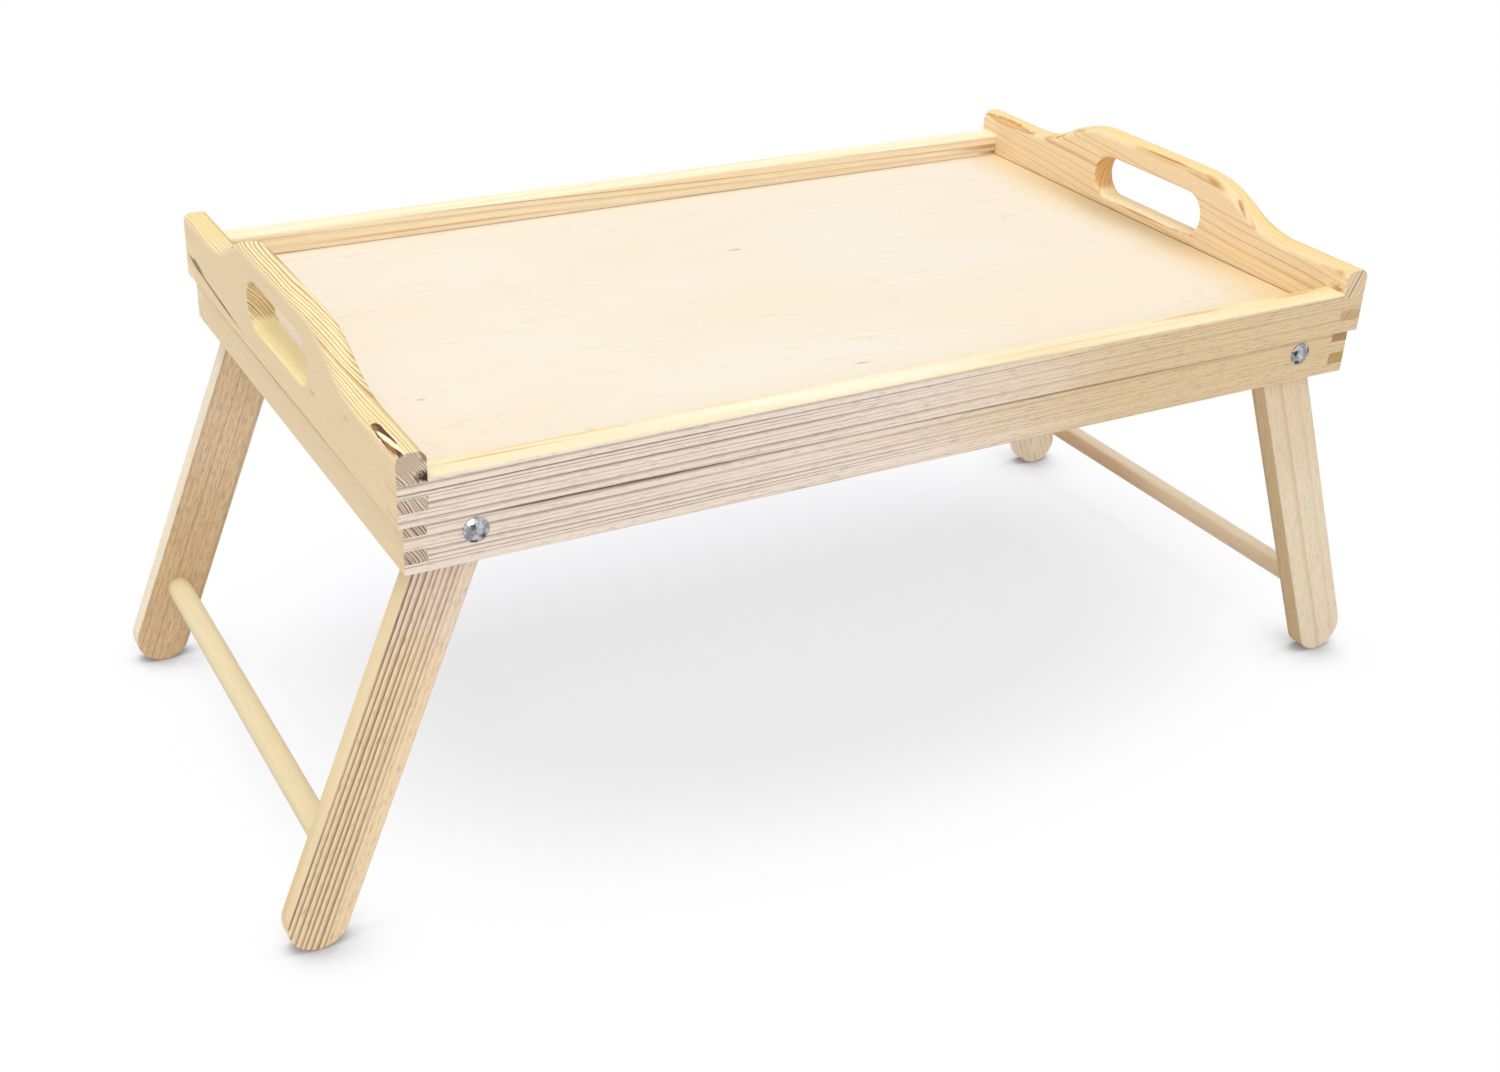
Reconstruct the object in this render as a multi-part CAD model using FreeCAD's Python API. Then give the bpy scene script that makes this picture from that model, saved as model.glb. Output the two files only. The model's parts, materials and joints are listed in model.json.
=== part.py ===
import FreeCAD, Part
import math
import os

from FreeCAD import Vector

# Pine bed tray with two folding leg frames, in millimetres.
# X runs along the tray, Y from front to back, Z up; the origin is on the floor, midway between the four feet.
# The legs are modelled open, resting on the lower inner edges of the end boards.

# Tray box
tray_length = 500.0
tray_width = 300.0
rail_thickness = 13.4
end_thickness = 12.6
step_depth = 2.8
rail_top_rounding = 1.8
edge_rounding = 0.8

# Handles: each end board rises from a low ear at each corner to a flat grip above a hand-hold
ear_height = 11.2
ear_length = 45.0
handle_height = 29.2
handle_flat_length = 76.0
handle_roundover = 4.0
grip_height = 13.0
slot_length = 86.0
slot_sill = 4.6
slot_rounding = 1.5

# Panel, held in a groove all round
panel_thickness = 3.0
panel_drop = 11.6
groove_depth = 4.0
panel_clearance = 0.1

# Finger joints: counted in fingers of equal height down to the step in the faces
finger_drop = 2.3
fingers_above_step = 3

# Legs
leg_width = 27.4
leg_thickness = 11.0
leg_rounding = 1.0
lean_degrees = 21.2
folded_feet_gap = 17.2
folded_leg_cover = 0.7
fold_clearance = 0.5
stop_gap = 0.3

# Stretchers, glued in blind sockets
stretcher_diameter = 12.0
stretcher_rise = 30.0
stretcher_chamfer = 0.8
socket_wall = 4.0
socket_clearance = 0.05

# Pivot bolts with washers and lock nuts
shank_diameter = 5.0
running_clearance = 0.05
hole_clearance = 0.1
pivot_side_gap = 0.3
head_diameter = 11.0
head_height = 2.6
head_rim = 0.5
head_margin = 3.0
neck_side = 5.6
neck_length = 3.5
bolt_tail = 1.6
spacer_diameter = 14.0
spacer_thickness = 1.8
washer_diameter = 10.0
washer_thickness = 1.0
nut_across_flats = 8.0
nut_height = 3.4
nut_collar_diameter = 6.8
nut_collar_height = 1.4
nut_collar_chamfer = 0.5

# Cutting tools run past the face they cut by this much
overrun = 5.0

# Worked out from the sizes above, each measured down from the top of the rails or in from an end
half_length = tray_length / 2
half_width = tray_width / 2
leg_radius = leg_width / 2
lean = math.radians(lean_degrees)
panel_underside_drop = panel_drop + panel_thickness
pivot_drop = panel_underside_drop + fold_clearance + leg_radius
rail_height = pivot_drop + leg_radius + folded_leg_cover
step_drop = pivot_drop - head_diameter / 2 - head_margin
finger_pitch = (step_drop - finger_drop) / fingers_above_step

# The outer edge of a leaning leg meets the rounded lower inner edge of the end board
stop_height = rail_height - pivot_drop - edge_rounding
stop_reach = leg_radius + stop_gap + edge_rounding + stop_height * math.sin(lean)
pivot_inset = end_thickness + stop_reach / math.cos(lean) - edge_rounding
leg_reach = half_length - pivot_inset - leg_radius - folded_feet_gap / 2

# Heights above the floor and places in the frame of the part
pivot_z = leg_reach * math.cos(lean) + leg_radius
pivot_x = half_length - pivot_inset
top_z = pivot_z + pivot_drop
bottom_z = top_z - rail_height
step_z = top_z - step_drop
panel_top_z = top_z - panel_drop
leg_outer_y = half_width - rail_thickness - spacer_thickness - pivot_side_gap
leg_inner_y = leg_outer_y - leg_thickness
socket_depth = leg_thickness - socket_wall


def box_between(low, high):
    """A block from its lowest corner to its highest corner, each given as (x, y, z)."""
    size = [b - a for a, b in zip(low, high)]
    return Part.makeBox(size[0], size[1], size[2], Vector(*low))


def cylinder_along_y(radius, y_from, y_to, x, z):
    """A round bar along Y between two places."""
    return Part.makeCylinder(radius, y_to - y_from, Vector(x, y_from, z), Vector(0, 1, 0))


def face_from(edges):
    return Part.Face(Part.Wire(edges))


def line(a, b):
    return Part.LineSegment(a, b).toShape()


def arc(a, middle, b):
    return Part.Arc(a, middle, b).toShape()


def edges_where(shape, test):
    """The edges whose middle point passes the test."""
    return [e for e in shape.Edges if test(e.valueAt((e.FirstParameter + e.LastParameter) / 2))]


def near(value, target):
    """True for two places that are one, within a thousandth of an edge rounding."""
    return abs(value - target) < edge_rounding / 1000


def finger_levels():
    """The heights at which the corner joint changes hands, from the top down to the lower edge."""
    levels = [top_z - finger_drop]
    while levels[-1] - finger_pitch > bottom_z + edge_rounding:
        levels.append(levels[-1] - finger_pitch)
    return levels + [bottom_z]


def finger_spans():
    """Two lists of (low, high) heights: the fingers of the rails and those of the end boards."""
    levels = finger_levels()
    spans = list(zip(levels[1:], levels[:-1]))
    return spans[0::2], spans[1::2]


def panel_groove():
    """The space that the panel's edges take in the four boards."""
    reach_x = half_length - end_thickness + groove_depth
    reach_y = half_width - rail_thickness + groove_depth
    low_z = panel_top_z - panel_thickness - panel_clearance
    return box_between((-reach_x, -reach_y, low_z), (reach_x, reach_y, panel_top_z + panel_clearance))


def bolt_passage():
    """The hole and square pocket that one bolt takes in the front rail, at x and z of zero."""
    face_y = -half_width + step_depth
    radius = shank_diameter / 2 + hole_clearance
    hole = cylinder_along_y(radius, face_y - overrun, -half_width + rail_thickness + overrun, 0, 0)
    half_neck = neck_side / 2 + hole_clearance
    pocket_end = face_y + neck_length + hole_clearance
    pocket = box_between((-half_neck, face_y - overrun, -half_neck), (half_neck, pocket_end, half_neck))
    return hole.fuse(pocket)


def front_rail():
    outer = -half_width
    inner = outer + rail_thickness
    corners = [(outer, top_z), (inner, top_z), (inner, bottom_z), (outer + step_depth, bottom_z),
               (outer + step_depth, step_z), (outer, step_z)]
    points = [Vector(-half_length, y, z) for y, z in corners]
    section = face_from([line(a, b) for a, b in zip(points, points[1:] + points[:1])])
    rail = section.extrude(Vector(tray_length, 0, 0))
    for side in (-1, 1):
        far = side * (half_length + overrun)
        near_x = side * (half_length - step_depth)
        low = (min(far, near_x), outer - overrun, bottom_z - overrun)
        rail = rail.cut(box_between(low, (max(far, near_x), inner + overrun, step_z)))

    def lower_edge(p):
        return near(p.z, bottom_z) and (near(p.x, 0) or near(abs(p.x), half_length - step_depth))

    rail = rail.makeFillet(edge_rounding, edges_where(rail, lower_edge))
    rail = rail.makeFillet(rail_top_rounding, edges_where(rail, lambda p: near(p.x, 0) and near(p.z, top_z)))
    board_fingers = finger_spans()[1] + [(top_z - finger_drop, top_z + overrun)]
    for side in (-1, 1):
        far = side * (half_length + overrun)
        shoulder = side * (half_length - end_thickness)
        for low_z, high_z in board_fingers:
            low = (min(far, shoulder), outer - overrun, low_z)
            rail = rail.cut(box_between(low, (max(far, shoulder), inner + overrun, high_z)))
        rail = rail.cut(bolt_passage().translated(Vector(side * pivot_x, 0, pivot_z)))
    return rail.cut(panel_groove())


def end_board_outline(x):
    """The outline of an end board: ear, curve up to the grip, grip, and the same again down to the other ear."""
    ear_z = top_z + ear_height
    grip_z = top_z + handle_height
    grip_y = handle_flat_length / 2
    ear_y = half_width - ear_length
    curve_middle_y = (grip_y + ear_y) / 2
    curve_middle_z = (ear_z + grip_z) / 2
    rise = handle_height - ear_height
    run = ear_y - grip_y
    radius = (run ** 2 + rise ** 2) / (4 * rise)
    turn = math.asin(run / 2 / radius)
    bow_y = radius * math.sin(turn / 2)
    bow_z = radius * (1 - math.cos(turn / 2))
    edges = [line(Vector(x, -half_width, bottom_z), Vector(x, -half_width, ear_z)),
             line(Vector(x, -half_width, ear_z), Vector(x, -ear_y, ear_z))]
    for side in (-1, 1):
        at_ear = Vector(x, side * ear_y, ear_z)
        off_ear = Vector(x, side * (ear_y - bow_y), ear_z + bow_z)
        middle = Vector(x, side * curve_middle_y, curve_middle_z)
        off_grip = Vector(x, side * (grip_y + bow_y), grip_z - bow_z)
        at_grip = Vector(x, side * grip_y, grip_z)
        edges += [arc(at_ear, off_ear, middle), arc(middle, off_grip, at_grip)]
        if side < 0:
            edges.append(line(at_grip, Vector(x, grip_y, grip_z)))
    edges += [line(Vector(x, ear_y, ear_z), Vector(x, half_width, ear_z)),
              line(Vector(x, half_width, ear_z), Vector(x, half_width, bottom_z)),
              line(Vector(x, half_width, bottom_z), Vector(x, -half_width, bottom_z))]
    return Part.Face(Part.Wire(Part.__sortEdges__(edges)))


def hand_hold(x, length):
    """The round-ended slot under the grip, as a solid of the given length along X."""
    slot_top = top_z + handle_height - grip_height
    slot_bottom = panel_top_z + slot_sill
    radius = (slot_top - slot_bottom) / 2
    middle_z = (slot_top + slot_bottom) / 2
    end_y = slot_length / 2 - radius
    edges = [line(Vector(x, -end_y, slot_top), Vector(x, end_y, slot_top)),
             arc(Vector(x, end_y, slot_top), Vector(x, end_y + radius, middle_z), Vector(x, end_y, slot_bottom)),
             line(Vector(x, end_y, slot_bottom), Vector(x, -end_y, slot_bottom)),
             arc(Vector(x, -end_y, slot_bottom), Vector(x, -end_y - radius, middle_z), Vector(x, -end_y, slot_top))]
    return face_from(edges).extrude(Vector(length, 0, 0))


def left_end_board():
    outer = -half_length
    inner = outer + end_thickness
    board = end_board_outline(outer).extrude(Vector(end_thickness, 0, 0))

    def top_edge(p):
        return p.z > top_z and abs(p.y) < half_width - edge_rounding

    board = board.makeFillet(handle_roundover, edges_where(board, top_edge))
    board = board.cut(hand_hold(outer - overrun, end_thickness + 2 * overrun))

    def slot_edge(p):
        on_face = near(p.x, outer) or near(p.x, inner)
        in_slot = panel_top_z < p.z < top_z + handle_height - handle_roundover - edge_rounding
        return on_face and in_slot and abs(p.y) < slot_length / 2 + edge_rounding

    board = board.makeFillet(slot_rounding, edges_where(board, slot_edge))
    board = board.cut(box_between((outer - overrun, -half_width - overrun, bottom_z - overrun),
                                  (outer + step_depth, half_width + overrun, step_z)))
    for side in (-1, 1):
        far = side * (half_width + overrun)
        near_y = side * (half_width - step_depth)
        low = (outer - overrun, min(far, near_y), bottom_z - overrun)
        board = board.cut(box_between(low, (inner + overrun, max(far, near_y), step_z)))

    def lower_edge(p):
        return near(p.z, bottom_z) and near(p.y, 0)

    board = board.makeFillet(edge_rounding, edges_where(board, lower_edge))
    for side in (-1, 1):
        far = side * (half_width + overrun)
        shoulder = side * (half_width - rail_thickness)
        for low_z, high_z in finger_spans()[0]:
            if near(low_z, bottom_z):
                low_z -= overrun
            low = (outer - overrun, min(far, shoulder), low_z)
            board = board.cut(box_between(low, (inner + overrun, max(far, shoulder), high_z)))
    return board.cut(panel_groove())


def tray_panel():
    reach_x = half_length - end_thickness + groove_depth - panel_clearance
    reach_y = half_width - rail_thickness + groove_depth - panel_clearance
    low_z = panel_top_z - panel_thickness
    return box_between((-reach_x, -reach_y, low_z), (reach_x, reach_y, panel_top_z))


def upright_leg(outer_y, inner_y):
    """A leg hanging straight down from a pivot at x and z of zero, with its faces at two places along Y."""
    y = min(outer_y, inner_y)
    top = [Vector(-leg_radius, y, 0), Vector(0, y, leg_radius), Vector(leg_radius, y, 0)]
    foot = [Vector(leg_radius, y, -leg_reach), Vector(0, y, -leg_reach - leg_radius), Vector(-leg_radius, y, -leg_reach)]
    outline = face_from([arc(*top), line(top[2], foot[0]), arc(*foot), line(foot[2], top[0])])
    leg = outline.extrude(Vector(0, abs(inner_y - outer_y), 0))
    rims = edges_where(leg, lambda p: near(p.y, outer_y) or near(p.y, inner_y))
    leg = leg.makeFillet(leg_rounding, rims)
    low_y = y - overrun
    high_y = max(outer_y, inner_y) + overrun
    leg = leg.cut(cylinder_along_y(shank_diameter / 2 + running_clearance, low_y, high_y, 0, 0))
    inwards = 1 if inner_y > outer_y else -1
    socket_y = sorted((inner_y - inwards * socket_depth, inner_y + inwards * overrun))
    socket_radius = stretcher_diameter / 2 + socket_clearance
    return leg.cut(cylinder_along_y(socket_radius, socket_y[0], socket_y[1], 0, stretcher_rise - leg_reach))


def upright_stretcher():
    reach = leg_inner_y + socket_depth - socket_clearance
    radius = stretcher_diameter / 2
    bar = cylinder_along_y(radius, -reach, reach, 0, stretcher_rise - leg_reach)
    return bar.makeChamfer(stretcher_chamfer, edges_where(bar, lambda p: near(abs(p.y), reach)))


def opened(piece, side):
    """Leans an upright piece outwards about its pivot and moves it to its place at the left (-1) or right (1)."""
    leaned = piece.copy()
    leaned.rotate(Vector(0, 0, 0), Vector(0, -side, 0), lean_degrees)
    return leaned.translated(Vector(side * pivot_x, 0, pivot_z))


def revolved_about_y(edges):
    return face_from(edges).revolve(Vector(0, 0, 0), Vector(0, 1, 0), 360)


def bolt():
    """A domed bolt with a square neck: its head seats on y of zero and its shank runs along +Y."""
    head_radius = head_diameter / 2
    radius = shank_diameter / 2
    dome = head_height - head_rim
    dome_radius = (head_radius ** 2 + dome ** 2) / (2 * dome)
    half_turn = math.asin(head_radius / dome_radius) / 2
    on_dome = Vector(dome_radius * math.sin(half_turn), -head_height + dome_radius * (1 - math.cos(half_turn)), 0)
    length = bolt_length()
    tip = radius / 4
    corners = [Vector(head_radius, -head_rim, 0), Vector(head_radius, 0, 0), Vector(radius, 0, 0),
               Vector(radius, length - tip, 0), Vector(radius - tip, length, 0), Vector(0, length, 0),
               Vector(0, -head_height, 0)]
    edges = [line(a, b) for a, b in zip(corners, corners[1:])]
    edges.append(arc(Vector(0, -head_height, 0), on_dome, corners[0]))
    half_neck = neck_side / 2
    neck = box_between((-half_neck, 0, -half_neck), (half_neck, neck_length, half_neck))
    return revolved_about_y(edges).fuse(neck).removeSplitter()


def bolt_length():
    through_rail = rail_thickness - step_depth + spacer_thickness + pivot_side_gap
    through_leg = leg_thickness + pivot_side_gap
    return through_rail + through_leg + washer_thickness + nut_height + nut_collar_height + bolt_tail


def ring(outer_diameter, thickness, clearance):
    """A flat washer on the bolt's axis, from y of zero."""
    outer = cylinder_along_y(outer_diameter / 2, 0, thickness, 0, 0)
    return outer.cut(cylinder_along_y(shank_diameter / 2 + clearance, -overrun, thickness + overrun, 0, 0))


def lock_nut():
    """A hexagon with a round collar behind it, from y of zero."""
    corner_radius = nut_across_flats / math.sqrt(3)
    corners = [Vector(corner_radius * math.cos(math.radians(60 * n)), 0, corner_radius * math.sin(math.radians(60 * n)))
               for n in range(6)]
    hexagon = face_from([line(a, b) for a, b in zip(corners, corners[1:] + corners[:1])])
    body = hexagon.extrude(Vector(0, nut_height, 0))
    height = nut_height + nut_collar_height
    collar = cylinder_along_y(nut_collar_diameter / 2, nut_height, height, 0, 0)
    collar = collar.makeChamfer(nut_collar_chamfer, edges_where(collar, lambda p: near(p.y, height)))
    bore = cylinder_along_y(shank_diameter / 2 + running_clearance, -overrun, height + overrun, 0, 0)
    return body.fuse(collar).removeSplitter().cut(bore)


def mirrored_front_to_back(shape):
    return shape.mirror(Vector(0, 0, 0), Vector(0, 1, 0))


def mirrored_left_to_right(shape):
    return shape.mirror(Vector(0, 0, 0), Vector(1, 0, 0))


def pivot_pieces():
    """The fixed pieces at one front pivot, at x and z of zero, by the name of their kind."""
    rail_face_y = -half_width + step_depth
    rail_inner_y = -half_width + rail_thickness
    washer_y = -leg_inner_y + pivot_side_gap
    return {
        "pivot_bolt": bolt().translated(Vector(0, rail_face_y, 0)),
        "spacer_washer": ring(spacer_diameter, spacer_thickness, hole_clearance).translated(Vector(0, rail_inner_y, 0)),
        "nut_washer": ring(washer_diameter, washer_thickness, hole_clearance).translated(Vector(0, washer_y, 0)),
        "lock_nut": lock_nut().translated(Vector(0, washer_y + washer_thickness, 0)),
    }


def build():
    nodes = {}
    nodes["front_rail"] = front_rail()
    nodes["back_rail"] = mirrored_front_to_back(nodes["front_rail"])
    nodes["left_end_board"] = left_end_board()
    nodes["right_end_board"] = mirrored_left_to_right(nodes["left_end_board"])
    nodes["tray_panel"] = tray_panel()
    fixed = pivot_pieces()
    for end, side in (("left", -1), ("right", 1)):
        nodes[end + "_front_leg"] = opened(upright_leg(-leg_outer_y, -leg_inner_y), side)
        nodes[end + "_back_leg"] = opened(upright_leg(leg_outer_y, leg_inner_y), side)
        nodes[end + "_stretcher"] = opened(upright_stretcher(), side)
        for kind, piece in fixed.items():
            placed = piece.translated(Vector(side * pivot_x, 0, pivot_z))
            nodes[end + "_front_" + kind] = placed
            nodes[end + "_back_" + kind] = mirrored_front_to_back(placed)
    return nodes


os.makedirs("parts", exist_ok=True)
for node_name, node_shape in build().items():
    solids = node_shape.Solids
    print(node_name, "solids", len(solids), "valid", node_shape.isValid(), "volume", round(node_shape.Volume, 1))
    shape = solids[0] if len(solids) == 1 else Part.makeCompound(solids)
    shape.exportStep("parts/" + node_name + ".step")

print("pivot at x", round(pivot_x, 4), "z", round(pivot_z, 4), "leg reach", round(leg_reach, 4))
print("rail top at z", round(top_z, 4), "panel top", round(panel_top_z, 4), "rail underside", round(bottom_z, 4))
print("finger pitch", round(finger_pitch, 4), "fold range in degrees", round(lean_degrees + 90, 4))
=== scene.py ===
import json
import math

import bpy
from mathutils import Euler, Matrix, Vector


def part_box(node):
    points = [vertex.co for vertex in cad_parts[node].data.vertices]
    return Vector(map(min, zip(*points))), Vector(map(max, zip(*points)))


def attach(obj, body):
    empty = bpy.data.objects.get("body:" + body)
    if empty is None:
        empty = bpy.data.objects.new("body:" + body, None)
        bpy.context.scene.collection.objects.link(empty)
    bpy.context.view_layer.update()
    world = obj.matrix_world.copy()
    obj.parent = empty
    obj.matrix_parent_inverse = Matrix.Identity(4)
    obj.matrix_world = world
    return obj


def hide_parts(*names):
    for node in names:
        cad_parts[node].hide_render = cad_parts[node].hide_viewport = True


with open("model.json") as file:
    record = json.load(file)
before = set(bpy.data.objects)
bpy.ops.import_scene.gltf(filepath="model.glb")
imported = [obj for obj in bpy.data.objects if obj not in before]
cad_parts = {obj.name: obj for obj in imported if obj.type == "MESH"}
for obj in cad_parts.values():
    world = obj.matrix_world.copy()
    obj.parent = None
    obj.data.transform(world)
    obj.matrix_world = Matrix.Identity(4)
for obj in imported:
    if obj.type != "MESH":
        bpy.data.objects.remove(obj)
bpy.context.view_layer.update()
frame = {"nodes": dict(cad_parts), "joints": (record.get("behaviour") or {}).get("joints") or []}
bpy.ops.object.select_all(action="DESELECT")
print("frame loaded")


# Camera: in front of the left end of the tray, looking down on it
cameraView = {
    "place": (-0.46544, -0.76995, 0.55563),
    "azimuth": 29.039,
    "elevation": 27.526,
    "roll": 2.034,
    "focalLengthPixels": 1923.43,
    "centrePixel": (693.40, 505.96),
    "imagePixels": (1500, 1072),
    "sensorWidth": 36.0,
}


def addCamera(view):
    width, height = view["imagePixels"]
    centreX, centreY = view["centrePixel"]
    data = bpy.data.cameras.new("photoCamera")
    data.sensor_fit = "HORIZONTAL"
    data.sensor_width = view["sensorWidth"]
    data.lens = view["sensorWidth"] * view["focalLengthPixels"] / width
    data.shift_x = (width / 2 - centreX) / width
    data.shift_y = (centreY - height / 2) / width
    camera = bpy.data.objects.new("photoCamera", data)
    tilt = Euler((math.radians(90 - view["elevation"]), 0, math.radians(-view["azimuth"])))
    turn = tilt.to_matrix() @ Matrix.Rotation(math.radians(view["roll"]), 3, "Z")
    camera.matrix_world = Matrix.Translation(view["place"]) @ turn.to_4x4()
    bpy.context.collection.objects.link(camera)
    bpy.context.scene.camera = camera


addCamera(cameraView)
print("camera placed")


# Small tools for building material nodes
def fromScreen(colour):
    # a colour as seen on screen, 0 to 255, made linear
    return tuple(((c / 255 + 0.055) / 1.055) ** 2.4 for c in colour) + (1.0,)


def addNode(tree, kind, settings=None, inputs=None):
    node = tree.nodes.new("ShaderNode" + kind)
    for name, value in (settings or {}).items():
        setattr(node, name, value)
    for name, value in (inputs or {}).items():
        if isinstance(value, bpy.types.NodeSocket):
            tree.links.new(value, node.inputs[name])
        else:
            node.inputs[name].default_value = value
    return node


def calculate(tree, operation, first, second=0.0, third=0.0):
    inputs = {0: first, 1: second, 2: third}
    return addNode(tree, "Math", {"operation": operation}, inputs).outputs[0]


def vectorMath(tree, operation, first, second=(0, 0, 0), third=(0, 0, 0)):
    inputs = {0: first, 1: second, 2: third}
    node = addNode(tree, "VectorMath", {"operation": operation}, inputs)
    givesNumber = operation in ("DISTANCE", "DOT_PRODUCT", "LENGTH")
    return node.outputs["Value" if givesNumber else "Vector"]


def blendColour(tree, factor, first, second, mode="MIX"):
    settings = {"data_type": "RGBA", "blend_type": mode}
    return addNode(tree, "Mix", settings, {0: factor, 6: first, 7: second}).outputs[2]


def rescale(tree, value, fromLow, fromHigh, toLow=0.0, toHigh=1.0, smooth=True):
    settings = {"interpolation_type": "SMOOTHSTEP" if smooth else "LINEAR"}
    limits = {"From Min": fromLow, "From Max": fromHigh, "To Min": toLow, "To Max": toHigh}
    return addNode(tree, "MapRange", settings, {"Value": value, **limits}).outputs["Result"]


def along(tree, place, axis, low, high, start=0.0, end=1.0):
    # runs from start to end between two places on an axis
    return rescale(tree, vectorMath(tree, "DOT_PRODUCT", place, axis), low, high, start, end)


def inMillimetres(tree, metres):
    return vectorMath(tree, "MULTIPLY", metres, (1000, 1000, 1000))


def patches(tree, place, size, seed, detail=2.0, output="Fac"):
    # soft noise whose patches have the given size along each axis
    stretch = tuple(1 / s for s in size)
    moved = vectorMath(tree, "MULTIPLY_ADD", place, stretch, (seed, -seed, seed / 2))
    inputs = {"Vector": moved, "Scale": 1.0, "Detail": detail}
    return addNode(tree, "TexNoise", None, inputs).outputs[output]


def patchLayer(tree, place, layer):
    # a layer is a size in mm, a seed, a detail, and the limits between which it shows
    size, seed, detail, limits = layer
    return rescale(tree, patches(tree, place, size, seed, detail), *limits)


def straying(tree, place, size, seed, detail, reach):
    # a soft random shift, at most half of reach either way
    noise = patches(tree, place, size, seed, detail, "Color")
    return vectorMath(tree, "MULTIPLY", vectorMath(tree, "SUBTRACT", noise, (0.5, 0.5, 0.5)), reach)


def ramp(tree, value, stops):
    node = addNode(tree, "ValToRGB", None, {"Fac": value})
    elements = node.color_ramp.elements
    while len(elements) < len(stops):
        elements.new(0.5)
    for element, (position, grey) in zip(elements, stops):
        element.position = position
        element.color = (grey, grey, grey, 1)
    return node.outputs["Color"]


def newMaterial(name):
    material = bpy.data.materials.new(name)
    material.use_nodes = True
    tree = material.node_tree
    tree.nodes.clear()
    return material, tree, addNode(tree, "BsdfPrincipled")


def showSurface(tree, surface, kind="OutputMaterial"):
    tree.links.new(surface, addNode(tree, kind).inputs["Surface"])


def finishShader(tree, shader, colour, roughness, height, bump):
    # bump is a strength and a depth in metres
    inputs = {"Strength": bump[0], "Distance": bump[1], "Height": height}
    normal = addNode(tree, "Bump", None, inputs).outputs["Normal"]
    tree.links.new(colour, shader.inputs["Base Color"])
    tree.links.new(roughness, shader.inputs["Roughness"])
    tree.links.new(normal, shader.inputs["Normal"])
    showSurface(tree, shader.outputs[0])


def dress(node, material):
    data = frame["nodes"][node].data
    data.materials.clear()
    data.materials.append(material)


# Pine: year rings round the middle of the tree, cut by the faces of each board
pine = {
    "turn": (0, 0, 0),             # degrees that lay the board's own x along its grain
    "heart": (0, 90, 60),          # mm from the board's middle to the middle of the tree
    "ringWidth": 2.6,
    "widening": 0.0,               # how fast the rings grow wider away from the heart
    "unevenness": 0.9,             # how far a ring may stray from its even place, in rings
    "unevenPace": 0.37,            # how fast that changes from one ring to the next
    "lineStart": 0.45,             # where in a ring the dark summer wood begins
    "lineStrength": (0.15, 1.0),   # weakest and strongest year
    "lineFade": None,              # axis, from and to in mm, and strength left at the end
    "fadeSize": (120, 9, 9),       # patches in which every line is weaker
    "fadeLimits": (0.3, 0.6, 0.6, 1.0),    # from and to, and strength left at each
    "wander": 2.5,                 # mm that the rings stray
    "wanderSize": (300, 30, 30),
    "face": (246, 228, 206),
    "warm": (244, 222, 186),
    "late": (176, 146, 112),
    "toneSize": (200, 18, 18),
    "toneRange": (0.3, 0.7),
    "toneDrift": None,             # axis, from and to in mm: face at one end, warm at the other
    "driftMix": (0.5, 0.8, -0.15),     # share of the patches, share of the drift, and their start
    "sides": (),                   # faces that differ, made by side(); some carry painted light and shade
    "marks": (),                   # knots, bark, resin, and painted shade, shadow and highlight, made by mark()
    "fibre": 0.10,
    "fibreSize": (18, 0.45, 0.45),
    "streaks": (0.22, 0.70),       # strength of the short dark pores, and how rare they are
    "poreSize": (6, 0.35, 0.35),
    "poreEdge": 0.08,
    "roughness": (0.67, 0.54),     # between the lines, and on them
    "specular": 0.35,
    "ringBump": 0.5,               # how far the lines stand up, beside the fibres
    "bump": (0.25, 0.0002),
    "seed": 1.0,
}
seedSteps = {"fade": 5, "tone": 9, "fibre": 13, "pores": 17}     # a noise of its own for each
plainMark = {
    "inner": 0.6,                  # share of its reach that has the full strength
    "strength": 1.0,
    "ragged": 1.5,                 # how far its outline strays, in its own sizes
    "grain": (4, 4, 4),            # mm, size of that straying
    "slant": None,                 # mm that it leans in x and z for each mm along y
}

# Which way a face looks, and how squarely it must look that way, from and to
toLeft, toRight, toFront, toBack, toTop = (-1, 0, 0), (1, 0, 0), (0, -1, 0), (0, 1, 0), (0, 0, 1)
squarely = (0.8, 0.95)
nearEdge = (0.9, 1.1)              # where a side kept near a place fades out, in its reaches

# Faces that many marks lie on, in mm
railTop, panelTop = 224.1, 212.5
railBand = -147.2                  # the front rail's lower band
boardFace, boardBand = -250.0, -247.2      # the left board's upper and lower band


def side(facing, limits, colour, late, near=None, reach=None):
    # near and reach, in mm, keep it to one part of the board
    looks = {"colour": colour, "late": late}
    return {"facing": facing, "limits": limits, "near": near, "reach": reach, **looks}


def mark(place, size, colour, **changes):
    # a soft-edged spot, in mm on the tray
    return {"place": place, "size": size, "colour": colour, **changes}


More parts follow.
